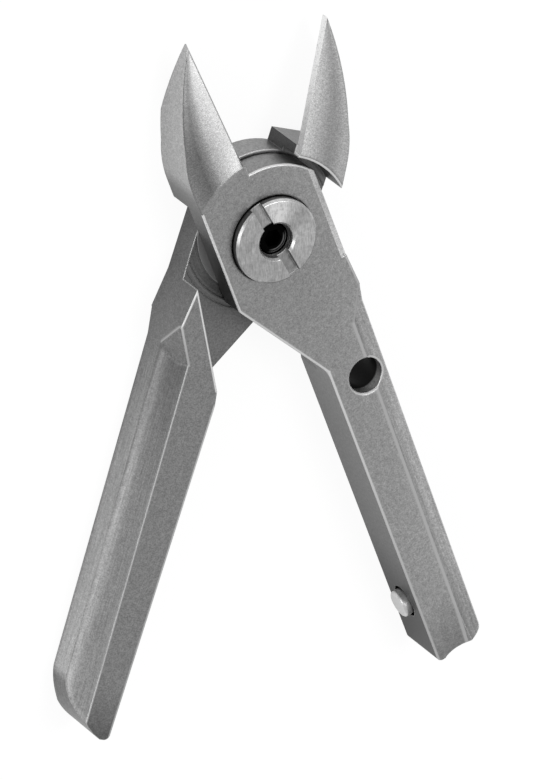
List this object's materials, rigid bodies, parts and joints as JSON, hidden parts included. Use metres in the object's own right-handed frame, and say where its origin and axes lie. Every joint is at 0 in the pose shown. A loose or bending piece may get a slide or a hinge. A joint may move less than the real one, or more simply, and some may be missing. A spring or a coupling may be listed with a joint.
{
  "type": "side cutter",
  "caption": "Small all-steel side cutter with tapered jaws, a slotted pivot screw and slim bare handles, standing open.",
  "frame": {"origin": "pivot axis on the flat back that the tool lies on", "axes": "+X to the right handle's side, +Y towards the jaws' tips, +Z out of the front plate along the pivot axis"},
  "size_m": [0.0681, 0.1076, 0.0109],
  "materials": {
    "ground_steel": "fine ground satin steel",
    "turned_steel": "turned satin steel with fine rings",
    "black_steel": "blackened steel",
    "washer_steel": "plain satin spring steel",
    "polished_steel": "polished hardened steel"
  },
  "bodies": {
    "left_half": {"rear_lever": "ground_steel", "pivot_screw": "turned_steel", "lock_screw": "black_steel", "thrust_washer": "washer_steel"},
    "right_half": {"front_lever": "ground_steel", "stop_pin": "polished_steel"}
  },
  "joints": [
    {"name": "pivot", "type": "hinge", "parent": "left_half", "child": "right_half", "pos_m": [0, 0, 0], "axis": [0, 0, 1], "range_deg": [-39.7, 5]}
  ]
}
